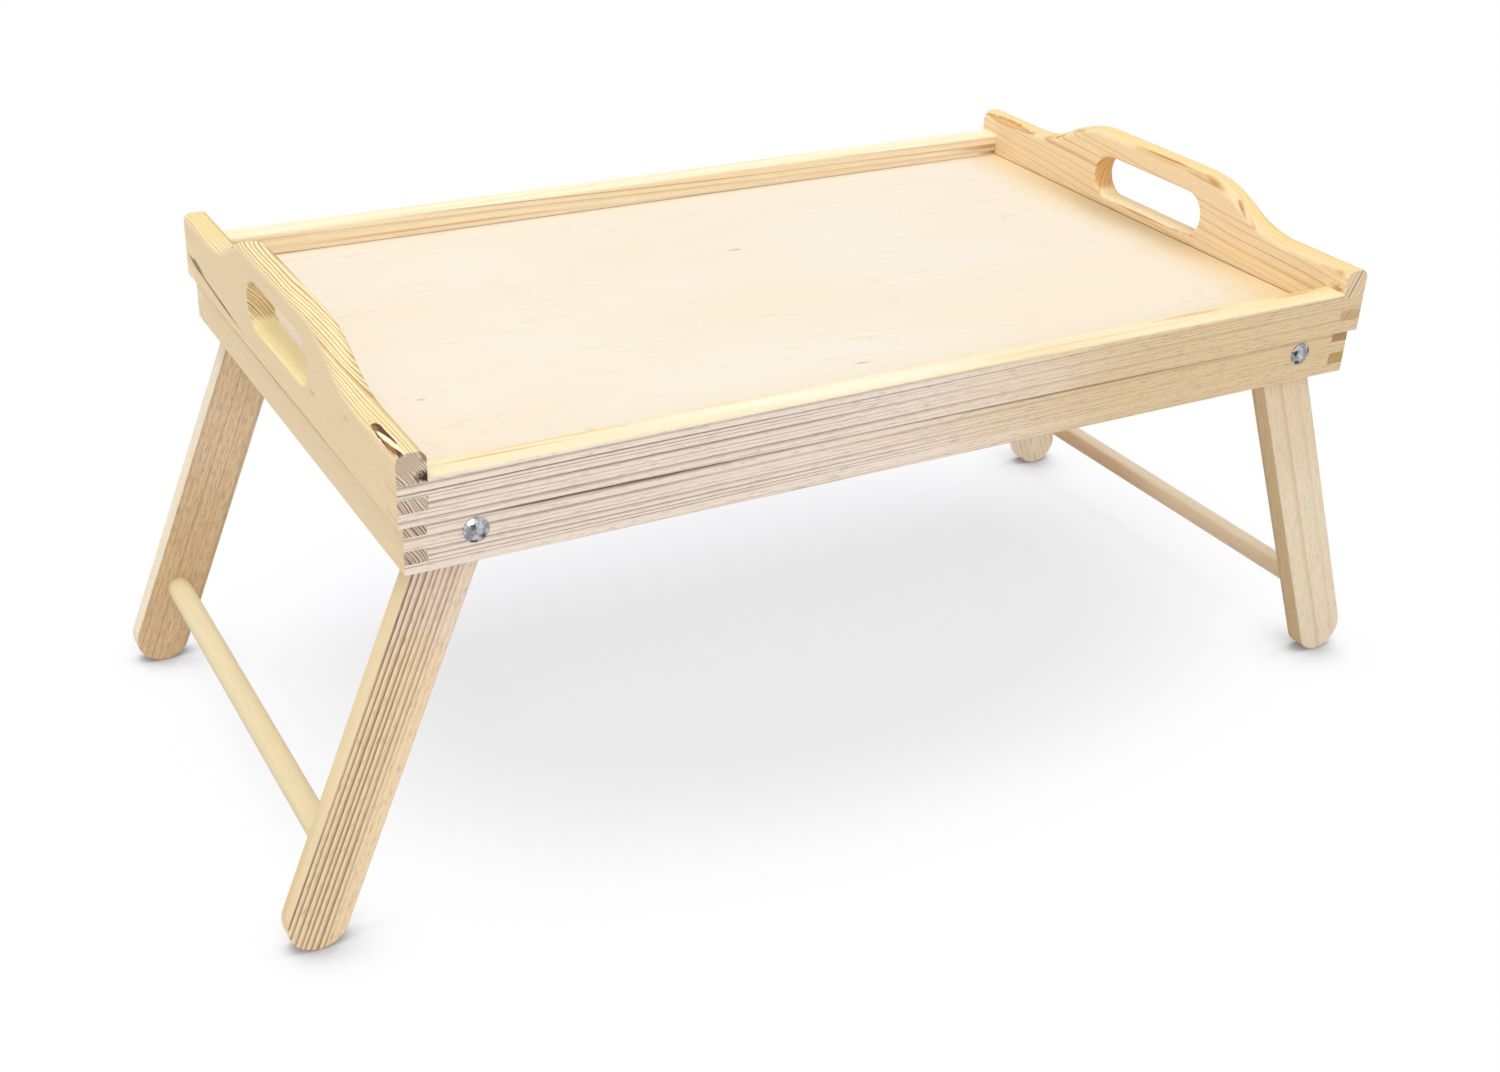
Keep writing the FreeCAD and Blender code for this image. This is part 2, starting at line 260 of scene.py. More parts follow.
def ringPattern(tree, place, wood):
    heart, seed, begin = wood["heart"], wood["seed"], wood["lineStart"]
    reach = (0, 2 * wood["wander"], 2 * wood["wander"])
    shift = straying(tree, place, wood["wanderSize"], seed, 1.5, reach)
    across = vectorMath(tree, "MULTIPLY", vectorMath(tree, "ADD", place, shift), (0, 1, 1))
    radius = vectorMath(tree, "DISTANCE", across, (0, heart[1], heart[2]))
    beyond = calculate(tree, "SUBTRACT", radius, math.hypot(heart[1], heart[2]))
    pace = calculate(tree, "MULTIPLY_ADD", beyond, -wood["widening"], 1 / wood["ringWidth"])
    count = calculate(tree, "MULTIPLY_ADD", beyond, pace, 100)     # 100 keeps the years above 0
    slow = calculate(tree, "MULTIPLY_ADD", count, wood["unevenPace"], seed)
    inputs = {"W": slow, "Scale": 1.0, "Detail": 1.0}
    uneven = addNode(tree, "TexNoise", {"noise_dimensions": "1D"}, inputs).outputs["Fac"]
    uneven = calculate(tree, "SUBTRACT", uneven, 0.5)
    count = calculate(tree, "MULTIPLY_ADD", uneven, 2 * wood["unevenness"], count)

    # how dark the wood is through the year: the last line's end, spring, and summer to its end
    midSummer = begin + 0.55 * (0.96 - begin)
    year = ((0.0, 0.35), (0.05, 0.0), (begin, 0.04), (midSummer, 0.55), (0.93, 1.0), (1.0, 0.7))
    dark = ramp(tree, calculate(tree, "FRACT", count), year)
    inputs = {"W": calculate(tree, "FLOOR", count)}
    chance = addNode(tree, "TexWhiteNoise", {"noise_dimensions": "1D"}, inputs).outputs["Value"]
    strength = rescale(tree, chance, 0, 1, *wood["lineStrength"], False)
    fading = patches(tree, place, wood["fadeSize"], seed + seedSteps["fade"])
    fading = rescale(tree, fading, *wood["fadeLimits"])
    strength = calculate(tree, "MULTIPLY", strength, fading)
    if wood["lineFade"]:
        axis, low, high, left = wood["lineFade"]
        fading = along(tree, place, axis, low, high, 1.0, left)
        strength = calculate(tree, "MULTIPLY", strength, fading)
    return calculate(tree, "MULTIPLY", dark, strength)


def sideAmount(tree, normal, rowPlace, face):
    amount = along(tree, normal, face["facing"], *face["limits"])
    if face["near"]:
        away = vectorMath(tree, "SUBTRACT", rowPlace, face["near"])
        away = vectorMath(tree, "LENGTH", vectorMath(tree, "DIVIDE", away, face["reach"]))
        amount = calculate(tree, "MULTIPLY", amount, rescale(tree, away, *nearEdge, 1.0, 0.0))
    return amount


def addMarks(tree, colour, rowPlace, marks, seed):
    for number, changes in enumerate(marks):
        spot = {**plainMark, "seed": seed + number, **changes}
        reach = (spot["ragged"],) * 3
        ragged = straying(tree, rowPlace, spot["grain"], spot["seed"], 3.0, reach)
        near = vectorMath(tree, "SUBTRACT", rowPlace, spot["place"])
        if spot["slant"]:
            slantX, slantZ = spot["slant"]
            leanX = vectorMath(tree, "DOT_PRODUCT", near, (0, slantX, 0))
            leanZ = vectorMath(tree, "DOT_PRODUCT", near, (0, slantZ, 0))
            lean = addNode(tree, "CombineXYZ", None, {"X": leanX, "Z": leanZ}).outputs[0]
            near = vectorMath(tree, "SUBTRACT", near, lean)
        near = vectorMath(tree, "DIVIDE", near, spot["size"])
        distance = vectorMath(tree, "LENGTH", vectorMath(tree, "ADD", near, ragged))
        amount = rescale(tree, distance, spot["inner"], 1.0, spot["strength"], 0.0)
        colour = blendColour(tree, amount, colour, fromScreen(spot["colour"]))
    return colour


def pineMaterial(name, middle, changes):
    wood = {**pine, **changes}
    seed = wood["seed"]
    material, tree, shader = newMaterial(name)
    coordinates = addNode(tree, "TexCoord").outputs
    rowPlace = inMillimetres(tree, coordinates["Object"])      # on the tray
    turn = tuple(math.radians(angle) for angle in wood["turn"])
    mapping = {"Vector": coordinates["Object"], "Location": middle, "Rotation": turn,
               "Scale": (0.001, 0.001, 0.001)}
    place = addNode(tree, "Mapping", {"vector_type": "TEXTURE"}, mapping).outputs["Vector"]

    rings = ringPattern(tree, place, wood)
    tone = patches(tree, place, wood["toneSize"], seed + seedSteps["tone"])
    if wood["toneDrift"]:
        patchShare, driftShare, start = wood["driftMix"]
        drift = along(tree, place, *wood["toneDrift"])
        drift = calculate(tree, "MULTIPLY_ADD", drift, driftShare, start)
        tone = calculate(tree, "MULTIPLY_ADD", tone, patchShare, drift)
    tone = rescale(tree, tone, *wood["toneRange"])
    early = blendColour(tree, tone, fromScreen(wood["face"]), fromScreen(wood["warm"]))
    late = fromScreen(wood["late"])
    for face in wood["sides"]:
        amount = sideAmount(tree, coordinates["Normal"], rowPlace, face)
        early = blendColour(tree, amount, early, fromScreen(face["colour"]))
        late = blendColour(tree, amount, late, fromScreen(face["late"]))
    colour = blendColour(tree, rings, early, late)

    fibre = patches(tree, place, wood["fibreSize"], seed + seedSteps["fibre"], 3.0)
    shade = rescale(tree, fibre, 0.2, 0.8, 1 - wood["fibre"], 1 + wood["fibre"] / 2, False)
    shade = addNode(tree, "CombineColor", None, {0: shade, 1: shade, 2: shade}).outputs[0]
    colour = blendColour(tree, 1.0, colour, shade, "MULTIPLY")
    strength, rarity = wood["streaks"]
    pores = patches(tree, place, wood["poreSize"], seed + seedSteps["pores"], 1.0)
    pores = rescale(tree, pores, rarity - wood["poreEdge"], rarity, 0, strength)
    colour = blendColour(tree, pores, colour, late)
    colour = addMarks(tree, colour, rowPlace, wood["marks"], seed)

    roughness = rescale(tree, rings, 0, 1, *wood["roughness"])
    height = calculate(tree, "MULTIPLY_ADD", rings, wood["ringBump"], fibre)
    finishShader(tree, shader, colour, roughness, height, wood["bump"])
    shader.inputs["Specular IOR Level"].default_value = wood["specular"]
    return material


def middleOf(node):
    low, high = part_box(node)
    return tuple((low + high) / 2)


def dressPine(node, changes, kind="pine", middle=None):
    name = kind + " " + node.replace("_", " ")
    dress(node, pineMaterial(name, middle or middleOf(node), changes))


# Rails: the saw cut across the rings, so their faces show close straight lines
railWoods = {
    "front_rail": {
        "turn": (0, -0.6, 0), "heart": (0, 30, -280), "ringWidth": 2.2,
        "lineStart": 0.58, "lineStrength": (0.3, 1.0), "wander": 1.6,
        "lineFade": ((1, 0, 0), -150, 150, 0.35),
        "face": (247, 230, 213), "warm": (232, 205, 164), "late": (106, 74, 52),
        "toneDrift": ((1, 0, 0), -150, 230), "streaks": (0.30, 0.68), "seed": 2.3,
        "sides": (
            side(toTop, (0.35, 0.8), (249, 234, 195), (232, 192, 124)),
            side(toLeft, squarely, (243, 218, 178), (220, 188, 144)),
            side(toRight, squarely, (238, 214, 176), (206, 176, 134)),
        ),
        "marks": (
            mark((-205, -142.4, railTop), (46, 1.1, 2), (220, 168, 92), inner=0.1, strength=0.75,
                 ragged=0.7, grain=(24, 1.5, 1)),
            mark((-178, -139.2, railTop), (70, 0.8, 2), (226, 178, 104), inner=0.1, strength=0.7,
                 ragged=0.8, grain=(30, 1.5, 1)),
            mark((70, -144.6, railTop), (150, 0.9, 2), (232, 190, 120), inner=0.1, strength=0.6,
                 ragged=0.9, grain=(50, 1.5, 1)),
            # painted shadow: dark lines under the step of the upper band, stronger at the left
            mark((-150, railBand, 202.1), (120, 2, 1.9), (92, 68, 54), inner=0.2, strength=0.9,
                 ragged=0.5, grain=(20, 2, 1)),
            mark((60, railBand, 202.1), (190, 2, 1.6), (128, 102, 76), inner=0.2, strength=0.7,
                 ragged=0.7, grain=(20, 2, 1)),
            mark((0, -136.7, 223.6), (700, 0.6, 0.8), (172, 126, 66), inner=0.2, strength=0.8,
                 ragged=0.3, grain=(30, 1, 1)),
            mark((-50, -143, railTop), (130, 7, 2), (253, 243, 220), inner=0.3, strength=0.8,
                 ragged=0.5, grain=(40, 5, 2)),
            mark((212, -142, railTop), (75, 9, 2), (245, 220, 158), inner=0.2, strength=0.6,
                 ragged=0.7, grain=(30, 4, 2)),
            mark((150, -139.6, railTop), (34, 2.4, 2), (228, 182, 108), inner=0.1, strength=0.8,
                 ragged=0.8, grain=(14, 1.5, 2)),
            mark((216, -139.6, railTop), (26, 2.6, 2), (224, 178, 102), inner=0.1, strength=0.8,
                 ragged=0.8, grain=(10, 1.5, 2)),
        ),
    },
    "back_rail": {
        "turn": (0, 0.8, 0), "heart": (0, 60, -120), "ringWidth": 3.4, "lineStart": 0.6,
        "face": (254, 238, 206), "warm": (251, 229, 190), "late": (190, 150, 104), "seed": 7.9,
        "sides": (side(toTop, (0.35, 0.8), (252, 243, 210), (244, 222, 166)),),
        "marks": (
            # painted shade: darker where the right end board meets the back rail
            mark((236, 136.6, 217.2), (34, 2, 2.4), (170, 128, 72), inner=0.1, strength=0.75,
                 ragged=0.5, grain=(16, 2, 1.6)),
            mark((239, 136.6, 213.8), (18, 2, 1.8), (120, 82, 42), inner=0.1, strength=0.8,
                 ragged=0.5, grain=(10, 2, 1.2)),
            mark((-120, 136.6, 215.4), (130, 2, 1), (214, 168, 110), inner=0.1, strength=0.7,
                 ragged=0.6, grain=(40, 2, 1)),
        ),
    },
}
for node, changes in railWoods.items():
    dressPine(node, changes)
print("rails dressed")


# End boards, with their grain along y; the ears and the hand-hold show end grain
boardWoods = {
    "left_end_board": {
        "turn": (0, 0, 90), "heart": (0, 153, -95), "ringWidth": 1.25, "widening": 0.003,
        "lineStart": 0.40, "lineStrength": (0.8, 1.0), "wander": 3.6, "wanderSize": (90, 25, 25),
        "face": (248, 225, 184), "warm": (244, 219, 176), "late": (216, 185, 142),
        "streaks": (0.2, 0.70), "seed": 4.4,
        "sides": (
            side(toLeft, squarely, (245, 221, 179), (238, 212, 170)),
            side(toTop, (0.3, 0.8), (254, 238, 188), (176, 118, 34)),
            side(toTop, (0.3, 0.8), (250, 232, 178), (206, 172, 110),
                 near=(-243.7, -131, 235.3), reach=(40, 34, 12)),
            side(toTop, (0.3, 0.8), (250, 226, 168), (214, 176, 112),
                 near=(-243.7, 137, 235.3), reach=(40, 32, 12)),
            side(toFront, squarely, (234, 213, 190), (36, 20, 12)),
            side(toBack, squarely, (234, 213, 190), (36, 20, 12)),
            side(toFront, squarely, (224, 198, 172), (24, 12, 6),
                 near=(-243.7, -150, 192), reach=(20, 20, 20)),
            side(toFront, (0.3, 0.75), (246, 218, 164), (40, 24, 14),
                 near=(-243.7, 0, 228.7), reach=(40, 50, 18)),
            # painted light: the hand-hold's floor made lighter, as if lit from the left
            side(toTop, (0.6, 0.9), (255, 240, 184), (250, 226, 164),
                 near=(-243.7, 0, 219), reach=(40, 50, 5)),
        ),
        "marks": (
            mark((-245.5, -150.2, 231), (7, 1.2, 6), (196, 176, 150), strength=0.85, ragged=0.8,
                 grain=(1.5, 1.5, 1.5)),
            mark((-238.6, -150, 232), (2, 2, 2.8), (150, 112, 70), inner=0.3, strength=0.75,
                 ragged=1, grain=(2, 2, 2)),
            mark((-239.2, -150, 224.4), (4.4, 3, 4.2), (58, 40, 30), inner=0.4, seed=31),
            mark((-240.6, -150, 225.4), (2.4, 3, 2.2), (178, 148, 112), inner=0.3, seed=31),
            mark((-240.4, -150, 225.2), (1, 1.6, 0.9), (70, 50, 36), inner=0.3, seed=31),
            mark((-247.7, -135, 235.4), (2.5, 17.5, 3), (84, 52, 26), inner=0.85, ragged=0.9,
                 grain=(2.5, 7, 3), seed=33),
            mark((-248.7, -141, 235.4), (1.2, 12, 3), (164, 112, 66), inner=0.5, ragged=1.2,
                 grain=(0.8, 1.2, 1.2)),
            mark((-248.3, -122.6, 235.4), (1.5, 4.4, 3), (156, 104, 62), inner=0.4, ragged=1.2,
                 grain=(0.8, 1.2, 1.2)),
            mark((-247.2, -138, 235.4), (1.05, 15, 3), (253, 238, 200), inner=0.75, ragged=0.5,
                 grain=(2.5, 7, 3), slant=(-0.1, 0), seed=35),
            mark((boardFace, 96, 210.3), (2, 54, 1), (104, 72, 42), inner=0.3, strength=0.95,
                 ragged=0.5, grain=(4, 22, 2), slant=(0, 0.075)),
            mark((boardFace, 133, 214.6), (2.5, 19, 3), (136, 100, 64), inner=0.3, strength=0.9,
                 ragged=0.4, slant=(0, 0.12)),
            mark((boardFace, 145, 217), (2, 5, 1), (238, 217, 184), inner=0.3, strength=0.8,
                 slant=(0, 0.15)),
            # painted shadow: a dark line under the step of the upper band
            mark((boardBand, 10, 198.9), (2, 170, 0.9), (168, 132, 90), inner=0.2, strength=0.65,
                 ragged=0.7, grain=(4, 24, 1.5)),
            mark((boardBand, 0, 189), (2, 170, 9), (240, 216, 182), inner=0.6, strength=0.3),
            mark((boardFace, -22, 198), (2, 1.3, 4), (172, 140, 102), strength=0.6),
            mark((boardFace, -49, 220), (1.5, 7, 1.6), (190, 158, 116), inner=0.1, strength=0.6),
            mark((boardFace, -92, 226.5), (1.5, 5, 1.2), (190, 158, 116), inner=0.1, strength=0.5),
        ),
    },
    "right_end_board": {
        "turn": (0, -4, 90), "heart": (0, 125, 84), "ringWidth": 2.3,
        "lineStart": 0.74, "lineStrength": (0.45, 0.95), "wander": 2.0, "wanderSize": (120, 30, 30),
        "face": (253, 225, 184), "warm": (254, 228, 182), "late": (212, 168, 116), "seed": 5.2,
        "sides": (
            side(toTop, (0.55, 0.95), (250, 221, 162), (226, 184, 118)),
            side(toFront, squarely, (240, 214, 176), (58, 30, 12)),
            side(toFront, squarely, (210, 178, 134), (56, 34, 14),
                 near=(243.7, -150, 195), reach=(20, 20, 21)),
            side(toBack, squarely, (228, 200, 164), (70, 40, 20)),
            side(toFront, (0.3, 0.75), (238, 188, 124), (84, 46, 18),
                 near=(243.7, 0, 228.7), reach=(40, 50, 18)),
            side(toTop, (0.6, 0.9), (255, 236, 192), (236, 196, 138),
                 near=(243.7, 0, 219), reach=(40, 50, 5)),
        ),
        "marks": (
            mark((237.6, -8, 251.4), (4, 36, 2.6), (228, 182, 120), inner=0.2, strength=0.8,
                 ragged=0.8, grain=(3, 14, 1.5)),
            mark((238.4, -14, 252.2), (3, 34, 0.6), (172, 122, 62), inner=0.2, strength=0.85,
                 ragged=0.7, grain=(3, 14, 1)),
            mark((237.6, -50, 250.6), (4, 12, 2.4), (200, 148, 84), inner=0.2, strength=0.85,
                 ragged=0.6, grain=(3, 6, 1.5), slant=(0, 0.25)),
            mark((237.6, -69, 245.2), (4, 9, 1.8), (168, 116, 56), inner=0.2, strength=0.9,
                 ragged=0.5, grain=(3, 5, 1.5), slant=(0, 0.8)),
            mark((237.6, -82, 245), (4, 16, 0.7), (186, 136, 76), inner=0.2, strength=0.8,
                 ragged=0.5, grain=(3, 10, 1), slant=(0, 0.45)),
            mark((237.8, -122, 236.4), (4, 26, 0.7), (186, 136, 76), inner=0.2, strength=0.8,
                 ragged=0.5, grain=(3, 14, 1), slant=(0, 0.04)),
            mark((237.4, -145, 225.4), (3, 7, 2.6), (200, 150, 80), inner=0.2, strength=0.9),
            mark((237.4, -144, 233.2), (3, 6, 1.8), (214, 164, 92), inner=0.1, strength=0.8),
            mark((238.2, 126, 233.8), (4, 27, 2.4), (160, 112, 58), inner=0.6, strength=0.7,
                 ragged=1, grain=(3, 7, 1.2), seed=41),
            mark((238.2, 127, 233.4), (4, 24, 1.7), (236, 188, 120), inner=0.4, strength=0.9,
                 ragged=1, grain=(3, 7, 1.2), seed=41),
            mark((237.6, 103, 234.8), (3, 4, 1), (196, 144, 82), inner=0.1, strength=0.8,
                 slant=(0, -0.6)),
            mark((237.6, 79, 239), (3, 8, 1.2), (180, 126, 66), inner=0.1, strength=0.9,
                 slant=(0, -0.55)),
            mark((237.6, 62, 247), (3, 6, 1.2), (196, 144, 82), inner=0.1, strength=0.8,
                 slant=(0, -0.4)),
            mark((237.4, 0, 216.4), (3, 38, 0.6), (176, 124, 62), inner=0.2, strength=0.8,
                 ragged=0.5, grain=(3, 14, 1)),
            mark((237.4, -32, 217.6), (3, 13, 1.6), (190, 138, 76), inner=0.1, strength=0.8,
                 slant=(0, -0.1)),
            mark((243, railBand, 200.4), (14, 1.2, 5), (145, 95, 14), inner=0.8, strength=0.5,
                 ragged=0.2),
            mark((243, railBand, 188), (14, 1.2, 5), (166, 136, 14), inner=0.8, strength=0.4,
                 ragged=0.2),
        ),
    },
}
for node, changes in boardWoods.items():
    dressPine(node, changes)
print("end boards dressed")


# Legs: their grain runs from the pivot to the foot
legLean = 21.2                     # degrees from upright, with the legs open
leftLegOutside = (-0.932, 0, 0.362)
rightLegInside = (-0.932, 0, -0.362)
legSquarely = (0.7, 0.95)
legWoods = {
    "left_front_leg": {
        "heart": (0, -20, -160), "ringWidth": 2.6, "unevenness": 0.3, "wander": 1.5,
        "lineStart": 0.40, "lineStrength": (0.85, 1.0), "lineFade": ((0, 0, 1), 5, 9, 0.12),
        "face": (243, 220, 197), "warm": (250, 223, 182), "late": (112, 70, 36),
        "toneDrift": ((1, 0, 0), 0, 130), "streaks": (0.35, 0.66), "seed": 3.1,
        # the outside face lighter and yellower: partly its own tone, partly painted light from the
        # left
        "sides": (side(leftLegOutside, legSquarely, (250, 231, 190), (226, 198, 148)),),
    },
    "left_back_leg": {
        "heart": (0, 60, 60), "ringWidth": 2.3, "lineStart": 0.55, "lineStrength": (0.1, 0.6),
        "face": (240, 211, 175), "warm": (226, 194, 152), "late": (142, 104, 68),
        "toneDrift": ((1, 0, 0), 20, 210), "fibre": 0.22, "streaks": (0.4, 0.60), "seed": 8.3,
        # the outside face lighter: partly its own tone, partly painted light from the left
        "sides": (side(leftLegOutside, legSquarely, (250, 238, 214), (232, 208, 168)),),
    },
    "right_front_leg": {
        "heart": (0, -60, -60), "ringWidth": 8, "lineStart": 0.68, "lineStrength": (0.15, 0.65),
        "face": (236, 215, 183), "warm": (242, 225, 196), "late": (190, 153, 114),
        "toneDrift": ((1, 0, 0), 25, 140), "streaks": (0.32, 0.65), "seed": 6.6,
        # painted shade: the inner face darker, where the tray shades it
        "sides": (side(rightLegInside, legSquarely, (221, 194, 150), (162, 126, 84)),),
    },
    "right_back_leg": {
        "heart": (0, 50, 50), "ringWidth": 2.4,
        "face": (255, 238, 210), "warm": (253, 230, 196), "late": (190, 156, 116), "seed": 9.7,
        "marks": (
            # painted highlight: a light patch on the round foot
            mark((285, 123.5, 14), (4, 4, 16), (250, 236, 212), inner=0.1, ragged=0.6),
        ),
    },
}
pivots = {joint["child"]: joint["pos_m"] for joint in frame["joints"]}
for node, changes in legWoods.items():
    onLeft = node.startswith("left")
    pivotX, _, pivotZ = pivots["left_legs" if onLeft else "right_legs"]
    turn = (0, 90 + legLean if onLeft else 90 - legLean, 0)
    middle = (pivotX, middleOf(node)[1], pivotZ)
    dressPine(node, {"turn": turn, **changes}, middle=middle)

# Stretchers: round dowels, with their grain along y
stretcherWoods = {
    "left_stretcher": {
        "turn": (0, 0, 90), "heart": (0, 40, 30), "ringWidth": 3.4, "lineStrength": (0.0, 0.5),
        "face": (239, 225, 187), "warm": (234, 217, 177), "late": (224, 198, 152), "seed": 1.7,
    },
    "right_stretcher": {
        "turn": (0, 0, 90), "heart": (0, 30, 30), "ringWidth": 3.4, "lineStrength": (0.0, 0.5),
        "face": (239, 214, 183), "warm": (222, 187, 151), "late": (188, 154, 114),
        "toneDrift": ((1, 0, 0), -100, 100), "seed": 2.9,
        # painted highlight: the top of the dowel lighter
        "sides": (side(toTop, (0.55, 0.9), (255, 238, 212), (244, 216, 180)),),
    },
}
for node, changes in stretcherWoods.items():
    dressPine(node, changes, "dowel")
print("legs and stretchers dressed")


# Panel: pale birch plywood with faint figure and a few short flecks, and painted warm light and
# shade along the rails and the right end board
panelWood = {
    "pale": (241, 231, 214), "deep": (241, 228, 207),
    "cloud": ((150, 60, 60), 2.2, 3.0, (0.35, 0.7)),
    "figure": (222, 200, 160), "figureBend": ((150, 34, 34), 5.1, 3.0), "figureLines": 12,
    "figureLimits": (0.82, 1.0, 0, 0.25), "figureShown": ((60, 30, 30), 9.4, 2.0, (0.42, 0.62)),
    "fleck": (206, 174, 134), "flecks": ((7, 1.2, 1.2), 8.8, 1.0, (0.76, 0.82, 0, 0.5)),
    "pores": ((3, 0.3, 0.3), 4.4, 2.0), "poreLimits": (0.2, 0.8), "bump": (0.15, 0.0001),
    "roughness": (0.55, 0.68), "specular": 0.3,
    "markSeed": 2.0,
    "marks": (
        # painted light: warm light bounced from the front rail, along the front edge and the front
        # right corner
        mark((60, -139, panelTop), (520, 44, 6), (242, 214, 150), inner=0.1, strength=0.3,
             ragged=0.3, grain=(60, 30, 5)),
        mark((226, -142, panelTop), (110, 56, 6), (240, 210, 142), inner=0.1, strength=0.4,
             ragged=0.3, grain=(40, 30, 5)),
        # painted warm light and painted shadow along the foot of the right end board, darkest in
        # the middle
        mark((241.5, 0, panelTop), (44, 500, 6), (232, 202, 144), inner=0.1, strength=0.72,
             ragged=0.2, grain=(30, 50, 5)),
        mark((239.5, 10, panelTop), (27, 125, 6), (150, 128, 98), inner=0.1, strength=0.5,
             ragged=0.3, grain=(20, 40, 5)),
        # painted shade: thin dark lines in the joints with the right end board and the back rail
        mark((237.2, 0, panelTop), (1.2, 260, 2), (132, 98, 60), inner=0.3, strength=0.8,
             ragged=0.3, grain=(2, 20, 5)),
        mark((0, 136.6, panelTop), (500, 0.9, 2), (140, 102, 62), inner=0.1, strength=0.8,
             ragged=0.3, grain=(20, 2, 5)),
        mark((9.3, 50.3, panelTop), (7, 1, 2), (176, 142, 104), inner=0),
        mark((-152.8, -116, panelTop), (5, 1, 2), (196, 160, 120), inner=0),
        mark((-10.6, -102.4, panelTop), (6, 0.8, 2), (150, 130, 110), inner=0),
        mark((-206, -59, panelTop), (4, 1.6, 2), (214, 186, 148), inner=0),
    ),
}


def panelMaterial(wood):
    material, tree, shader = newMaterial("birch plywood")
    place = inMillimetres(tree, addNode(tree, "TexCoord").outputs["Object"])
    cloud = patchLayer(tree, place, wood["cloud"])
    colour = blendColour(tree, cloud, fromScreen(wood["pale"]), fromScreen(wood["deep"]))
    figure = patches(tree, place, *wood["figureBend"])
    lines = calculate(tree, "FRACT", calculate(tree, "MULTIPLY", figure, wood["figureLines"]))
    lines = rescale(tree, lines, *wood["figureLimits"])
    lines = calculate(tree, "MULTIPLY", lines, patchLayer(tree, place, wood["figureShown"]))
    colour = blendColour(tree, lines, colour, fromScreen(wood["figure"]))
    flecks = patchLayer(tree, place, wood["flecks"])
    colour = blendColour(tree, flecks, colour, fromScreen(wood["fleck"]))
    colour = addMarks(tree, colour, place, wood["marks"], wood["markSeed"])
    pores = patches(tree, place, *wood["pores"])
    roughness = rescale(tree, pores, *wood["poreLimits"], *wood["roughness"])
    finishShader(tree, shader, colour, roughness, pores, wood["bump"])
    shader.inputs["Specular IOR Level"].default_value = wood["specular"]
    return material


dress("tray_panel", panelMaterial(panelWood))
print("panel dressed")


# Bolts, washers and nuts: bright zinc, softly mottled, with darker patches that are partly stains
# and partly painted dark reflections, and shallow dents
zinc = {
    "bright": (212, 213, 215), "mid": (146, 147, 151), "dark": (70, 72, 78),
    "mottle": ((3.4, 3.4, 3.4), 3.3, 3.0, (0.35, 0.62)),
    # dark patches: partly stains, partly painted dark reflections
    "stainsAndReflections": ((4.2, 4.2, 4.2), 8.1, 2.0, (0.52, 0.66)),
    "dents": ((2.8, 2.8, 2.8), 6.2, 1.0),
    "bump": (0.35, 0.0007), "roughness": (0.16, 0.36),
}


def zincMaterial(finish):
    material, tree, shader = newMaterial("zinc plating")
    place = inMillimetres(tree, addNode(tree, "TexCoord").outputs["Object"])
    mottle = patchLayer(tree, place, finish["mottle"])
    colour = blendColour(tree, mottle, fromScreen(finish["bright"]), fromScreen(finish["mid"]))
    # darker patches, partly stains and partly painted dark reflections
    stainsAndReflections = patchLayer(tree, place, finish["stainsAndReflections"])
    colour = blendColour(tree, stainsAndReflections, colour, fromScreen(finish["dark"]))
    dents = patches(tree, place, *finish["dents"])
    roughness = rescale(tree, mottle, 0, 1, *finish["roughness"])
    finishShader(tree, shader, colour, roughness, dents, finish["bump"])
    shader.inputs["Metallic"].default_value = 1.0
    return material


zincPlating = zincMaterial(zinc)
for node in frame["nodes"]:
    if node.endswith("_washer"):
        dress(node, zincPlating)


# Tools for modelling a fastener along y, in edit mode
overlap = 0.001                    # how far joined solids run into each other, in metres


def startPiece():
    if bpy.context.object and bpy.context.object.mode == "EDIT":
        bpy.ops.object.mode_set(mode="OBJECT")
    bpy.ops.object.select_all(action="DESELECT")


def keepShape():
    # puts the object's place, turn and size into its mesh
    bpy.ops.object.transform_apply(location=True, rotation=True, scale=True)


def addRound(radius, fromY, toY, corners=48):
    # a cylinder along y between its two ends
    startPiece()
    bpy.ops.mesh.primitive_cylinder_add(
        vertices=corners, radius=radius, depth=abs(toY - fromY),
        location=(0, (fromY + toY) / 2, 0), rotation=(math.pi / 2, 0, 0))
    keepShape()
    return bpy.context.object


def pickCap(piece, y):
    # the flat end that lies at y
    bpy.ops.object.mode_set(mode="EDIT")
    bpy.ops.mesh.select_mode(type="FACE")
    bpy.ops.mesh.select_all(action="DESELECT")
    bpy.ops.object.mode_set(mode="OBJECT")
    for face in piece.data.polygons:
        face.select = abs(face.center.y - y) < 1e-5 and abs(face.normal.y) > 0.9
    bpy.ops.object.mode_set(mode="EDIT")


def bevelRim(piece, y, width, segments=2):
    pickCap(piece, y)
    bpy.ops.mesh.region_to_loop()
    bpy.ops.mesh.bevel(offset=width, segments=segments, affect="EDGES")
    bpy.ops.object.mode_set(mode="OBJECT")


def applyModifier(piece, kind, **settings):
    modifier = piece.modifiers.new("shape", kind)
    for name, value in settings.items():
        setattr(modifier, name, value)
    bpy.context.view_layer.objects.active = piece
    bpy.ops.object.modifier_apply(modifier=modifier.name)


def combine(piece, operation, other):
    applyModifier(piece, "BOOLEAN", operation=operation, object=other, solver="EXACT")
    bpy.data.objects.remove(other)


def joinPieces(pieces, name):
    startPiece()
    for piece in pieces:
        piece.select_set(True)
    bpy.context.view_layer.objects.active = pieces[0]
    bpy.ops.object.join()
    pieces[0].name = name
    return pieces[0]


